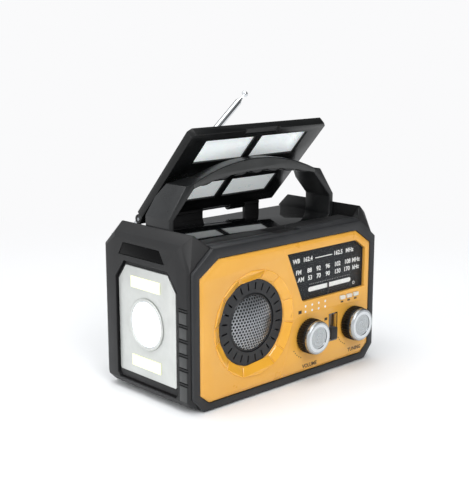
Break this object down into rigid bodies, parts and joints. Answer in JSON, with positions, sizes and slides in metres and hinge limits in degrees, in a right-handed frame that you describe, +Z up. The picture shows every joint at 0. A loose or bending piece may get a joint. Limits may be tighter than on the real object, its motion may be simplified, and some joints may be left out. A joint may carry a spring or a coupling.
{
  "type": "portable emergency radio",
  "caption": "Portable emergency radio with a flip-up solar lid, hand crank, folding handle, telescopic antenna, end lamp, tuning dial and speaker.",
  "frame": {"origin": "centre of the body's footprint, on the plane that the base pad rests on", "axes": "+Z up, -Y out of the front panel, +X towards the end with the charging ports"},
  "size_m": [0.2041, 0.1253, 0.2215],
  "materials": {
    "bezel": "fine-grained dark grey",
    "yellow_panel": "satin yellow",
    "body": "fine-grained near-black",
    "gloss_black": "polished black",
    "handle": "satin dark grey",
    "silver": "silver paint",
    "grille": "perforated, satin",
    "chrome": "polished",
    "lens": "clear",
    "lamp": "pale yellow light strip",
    "solar": "dark solar cells under clear resin",
    "diffuser": "milky white",
    "board": "green circuit board",
    "battery": "blue sleeve",
    "steel": "satin",
    "nylon": "natural nylon",
    "rubber": "matt"
  },
  "bodies": {
    "radio": {"front_bezel": "bezel", "front_panel": "yellow_panel", "speaker_ring": "body", "speaker_grille": "grille", "speaker_driver": "steel", "dial_window": "lens", "dial_scale": "gloss_black", "volume_potentiometer": "steel", "tuning_capacitor": "nylon", "band_switch_body": "steel", "main_shell": "body", "base_pad": "rubber", "deck_panel": "gloss_black", "rear_cover": "body", "rear_screw_1": "steel", "rear_screw_2": "steel", "rear_screw_3": "steel", "rear_screw_4": "steel", "dynamo": "steel", "main_board": "board", "battery": "battery", "left_end_cap": "body", "signal_window": "gloss_black", "lamp_plate": "silver", "lamp_tray": "rubber", "lamp_rim": "silver", "lamp_lens": "lens", "lamp_reflector": "chrome", "light_strip_upper": "lamp", "light_strip_lower": "lamp", "right_end_cap": "body", "port_block": "steel", "lid_hinge_pin": "steel", "handle_pin_left": "steel", "handle_pin_right": "steel", "antenna_mount": "steel"},
    "volume_knob": {"volume_knob": "gloss_black", "volume_knob_cap": "chrome"},
    "tuning_knob": {"tuning_knob": "gloss_black", "tuning_knob_cap": "chrome"},
    "dial_pointer": {"dial_pointer": "rubber"},
    "band_switch": {"band_switch_slider": "rubber"},
    "key_1": {"key_1": "nylon"},
    "key_2": {"key_2": "nylon"},
    "key_3": {"key_3": "nylon"},
    "lid": {"lid_frame": "gloss_black", "lid_solar_panel": "solar", "lid_diffuser": "diffuser"},
    "handle": {"handle": "handle"},
    "antenna_knuckle": {"antenna_knuckle": "chrome"},
    "antenna_section_1": {"antenna_section_1": "chrome"},
    "antenna_section_2": {"antenna_section_2": "chrome"},
    "antenna_section_3": {"antenna_section_3": "chrome"},
    "antenna_section_4": {"antenna_section_4": "chrome"},
    "crank": {"crank_arm": "body", "crank_gear": "nylon"},
    "crank_knob": {"crank_knob": "handle"},
    "dynamo_pinion": {"dynamo_pinion": "steel"},
    "port_cover": {"port_cover": "rubber"}
  },
  "joints": [
    {"name": "volume_turn", "type": "hinge", "parent": "radio", "child": "volume_knob", "pos_m": [0.0185, -0.0529, 0.0365], "axis": [0, 1, 0], "range_deg": [-150, 150]},
    {"name": "tuning_turn", "type": "hinge", "parent": "radio", "child": "tuning_knob", "pos_m": [0.071, -0.0529, 0.0365], "axis": [0, 1, 0], "range_deg": [-90, 90]},
    {"name": "pointer_slide", "type": "slide", "parent": "radio", "child": "dial_pointer", "axis": [1, 0, 0], "range_m": [-0.0241, 0.0241]},
    {"name": "band_switch_slide", "type": "slide", "parent": "radio", "child": "band_switch", "axis": [0, 0, 1], "range_m": [0, 0.0108]},
    {"name": "key_1_press", "type": "slide", "parent": "radio", "child": "key_1", "axis": [0, 1, 0], "range_m": [0, 0.001], "stiffness_N_per_m": 200},
    {"name": "key_2_press", "type": "slide", "parent": "radio", "child": "key_2", "axis": [0, 1, 0], "range_m": [0, 0.001], "stiffness_N_per_m": 200},
    {"name": "key_3_press", "type": "slide", "parent": "radio", "child": "key_3", "axis": [0, 1, 0], "range_m": [0, 0.001], "stiffness_N_per_m": 200},
    {"name": "lid_hinge", "type": "hinge", "parent": "radio", "child": "lid", "pos_m": [0, 0.0485, 0.127], "axis": [-1, 0, 0], "range_deg": [0, 42]},
    {"name": "handle_fold", "type": "hinge", "parent": "radio", "child": "handle", "pos_m": [0, -0.014, 0.1135], "axis": [1, 0, 0], "range_deg": [0, 64]},
    {"name": "antenna_swivel", "type": "hinge", "parent": "radio", "child": "antenna_knuckle", "pos_m": [-0.072, 0.0571, 0.115], "axis": [0, 1, 0], "range_deg": [-140, 39]},
    {"name": "antenna_tilt", "type": "hinge", "parent": "antenna_knuckle", "child": "antenna_section_1", "pos_m": [-0.072, 0.0571, 0.115], "axis": [-0.6361, 0, 0.7716], "range_deg": [0, 90]},
    {"name": "antenna_slide_2", "type": "slide", "parent": "antenna_section_1", "child": "antenna_section_2", "axis": [0.7716, 0, 0.6361], "range_m": [0, 0.125]},
    {"name": "antenna_slide_3", "type": "slide", "parent": "antenna_section_2", "child": "antenna_section_3", "axis": [0.7716, 0, 0.6361], "range_m": [0, 0.125]},
    {"name": "antenna_slide_4", "type": "slide", "parent": "antenna_section_3", "child": "antenna_section_4", "axis": [0.7716, 0, 0.6361], "range_m": [0, 0.125]},
    {"name": "crank_turn", "type": "hinge", "parent": "radio", "child": "crank", "pos_m": [0.015, 0.0424, 0.0575], "axis": [0, 1, 0], "continuous": true},
    {"name": "crank_knob_turn", "type": "hinge", "parent": "crank", "child": "crank_knob", "pos_m": [0.015, 0.0477, 0.0195], "axis": [0, 1, 0], "continuous": true},
    {"name": "pinion_turn", "type": "hinge", "parent": "radio", "child": "dynamo_pinion", "pos_m": [-0.0112, 0.0305, 0.0575], "axis": [0, 1, 0], "continuous": true},
    {"name": "port_cover_open", "type": "hinge", "parent": "radio", "child": "port_cover", "pos_m": [0.1017, -0.0015, 0.03], "axis": [0, 1, 0], "range_deg": [0, 110]}
  ],
  "couplings": [
    {"joint": "pointer_slide", "follows": "tuning_turn", "m_per_rad": 0.01528},
    {"joint": "pinion_turn", "follows": "crank_turn", "ratio": -3.3333}
  ]
}
